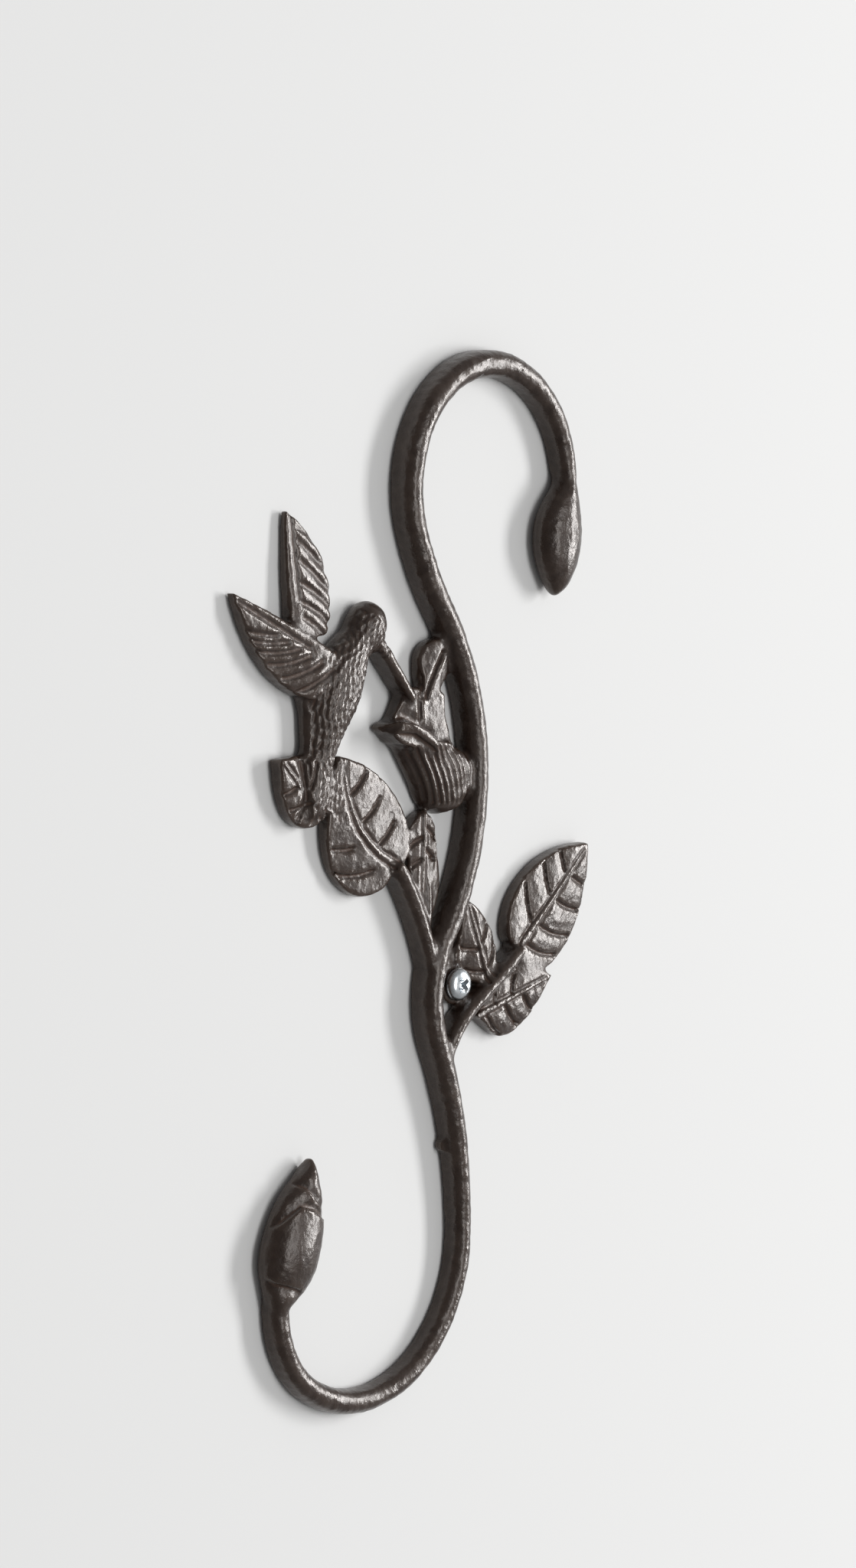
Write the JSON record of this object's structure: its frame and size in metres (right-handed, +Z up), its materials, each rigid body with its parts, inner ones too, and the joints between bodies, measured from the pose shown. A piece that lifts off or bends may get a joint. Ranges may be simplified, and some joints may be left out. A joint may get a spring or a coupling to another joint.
{
  "type": "planter wall hook",
  "caption": "Cast wall hook: an S-shaped bar with a hummingbird at a bell flower, leaves and bud-shaped ends; holds hanging planters and is fixed with a screw.",
  "frame": {"origin": "where the screw's axis meets the wall plane, in the middle of the casting's screw hole at its back face", "axes": "+Z up the wall, +X to the right seen from the front, +Y into the wall; the front faces -Y"},
  "size_m": [0.1558, 0.0454, 0.3029],
  "materials": {
    "hook_casting": "dark brown oil-rubbed patina, grainy as cast, satin on the high spots",
    "mounting_screw": "bright zinc plate"
  },
  "bodies": {
    "root": {"hook_casting": "hook_casting", "mounting_screw": "mounting_screw"}
  },
  "joints": []
}
